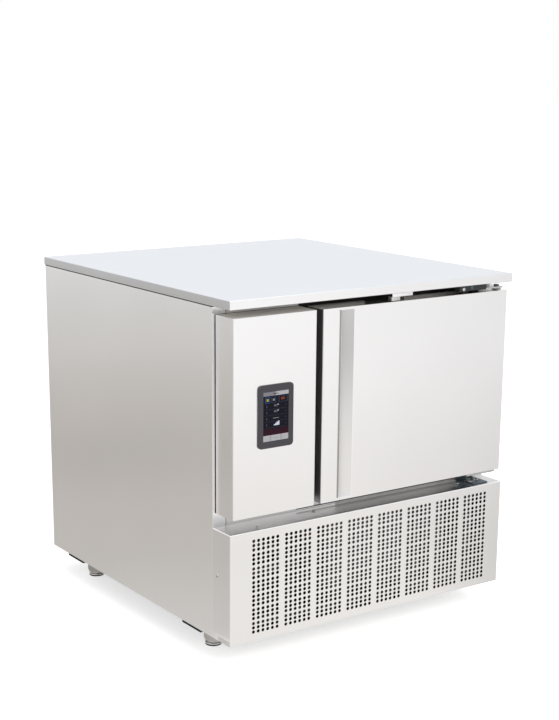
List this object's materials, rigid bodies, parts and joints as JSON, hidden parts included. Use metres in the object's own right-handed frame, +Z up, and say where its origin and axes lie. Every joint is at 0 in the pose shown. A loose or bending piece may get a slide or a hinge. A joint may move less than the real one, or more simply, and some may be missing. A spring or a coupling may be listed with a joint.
{
  "type": "blast chiller",
  "caption": "Undercounter blast chiller: stainless cabinet with a hinged insulated door, control box, perforated grille and refrigeration unit.",
  "frame": {"origin": "on the floor, at the middle of the worktop's outline", "axes": "+Z up, front (door, control box and grille) towards -Y, hinges at +X"},
  "size_m": [0.8, 0.866, 0.83],
  "materials": {
    "worktop": "bright satin stainless worktop",
    "satin": "satin stainless sheet",
    "side": "satin stainless side panel",
    "bright": "bright stainless",
    "galvanised": "galvanised sheet",
    "foam": "rigid insulating foam",
    "gasket": "dark grey magnetic gasket",
    "rubber": "black rubber pad",
    "black_plastic": "black moulded plastic",
    "bezel": "dark grey moulded frame",
    "glass": "dark display glass",
    "board": "circuit board",
    "fins": "aluminium fins",
    "copper": "copper tube",
    "enamel": "black enamelled steel",
    "nylon": "off-white moulded plastic or board"
  },
  "bodies": {
    "cabinet": {"worktop_skin": "worktop", "worktop_core": "nylon", "side_panel_left": "side", "side_panel_right": "side", "front_frame": "satin", "back_panel": "galvanised", "foam_body": "foam", "chamber_liner": "satin", "drain_spigot": "nylon", "base_pan": "galvanised", "base_channel_front": "galvanised", "base_channel_rear": "galvanised", "cable_gland": "black_plastic", "foot_sleeve_front_left": "bright", "foot_sleeve_front_right": "bright", "foot_sleeve_rear_left": "bright", "foot_sleeve_rear_right": "bright", "hinge_bracket_top": "bright", "hinge_bracket_bottom": "bright", "hinge_pin_top": "bright", "hinge_pin_bottom": "bright", "control_cover": "satin", "display_bezel": "bezel", "display_glass": "glass", "display_board": "board", "power_board": "board", "grille_panel": "satin", "grille_rail": "galvanised", "fan_panel": "satin", "fan_guard_1": "bright", "fan_guard_2": "bright", "evaporator_motor_1": "enamel", "evaporator_motor_2": "enamel", "evaporator_coil": "fins", "tray_rack_left": "bright", "tray_rack_right": "bright", "condenser_coil": "fins", "condenser_shroud": "galvanised", "condenser_motor": "enamel", "compressor": "enamel", "liquid_receiver": "enamel", "filter_drier": "copper", "discharge_pipe": "copper", "receiver_pipe": "copper", "liquid_pipe": "copper", "suction_pipe": "copper", "condensate_tray": "nylon"},
    "door": {"door_skin": "satin", "door_core": "foam", "door_liner": "satin", "door_gasket": "gasket", "hinge_bush_top": "nylon", "hinge_bush_bottom": "nylon"},
    "evaporator_fan_1": {"evaporator_fan_1": "black_plastic"},
    "evaporator_fan_2": {"evaporator_fan_2": "black_plastic"},
    "condenser_fan": {"condenser_fan": "black_plastic"},
    "foot_front_left": {"foot_pad_front_left": "rubber"},
    "foot_front_right": {"foot_pad_front_right": "rubber"},
    "foot_rear_left": {"foot_pad_rear_left": "rubber"},
    "foot_rear_right": {"foot_pad_rear_right": "rubber"}
  },
  "joints": [
    {"name": "door_hinge", "type": "hinge", "parent": "cabinet", "child": "door", "pos_m": [0.376, -0.404, 0.5705], "axis": [0, 0, 1], "range_deg": [0, 110]},
    {"name": "evaporator_fan_1_spin", "type": "hinge", "parent": "cabinet", "child": "evaporator_fan_1", "pos_m": [-0.1432, -0.108, 0.5715], "axis": [1, 0, 0], "continuous": true},
    {"name": "evaporator_fan_2_spin", "type": "hinge", "parent": "cabinet", "child": "evaporator_fan_2", "pos_m": [-0.1432, 0.182, 0.5715], "axis": [1, 0, 0], "continuous": true},
    {"name": "condenser_fan_spin", "type": "hinge", "parent": "cabinet", "child": "condenser_fan", "pos_m": [0.12, -0.2347, 0.1685], "axis": [0, 1, 0], "continuous": true},
    {"name": "foot_front_left_height", "type": "slide", "parent": "cabinet", "child": "foot_front_left", "axis": [0, 0, -1], "range_m": [0, 0.025]},
    {"name": "foot_front_right_height", "type": "slide", "parent": "cabinet", "child": "foot_front_right", "axis": [0, 0, -1], "range_m": [0, 0.025]},
    {"name": "foot_rear_left_height", "type": "slide", "parent": "cabinet", "child": "foot_rear_left", "axis": [0, 0, -1], "range_m": [0, 0.025]},
    {"name": "foot_rear_right_height", "type": "slide", "parent": "cabinet", "child": "foot_rear_right", "axis": [0, 0, -1], "range_m": [0, 0.025]}
  ]
}
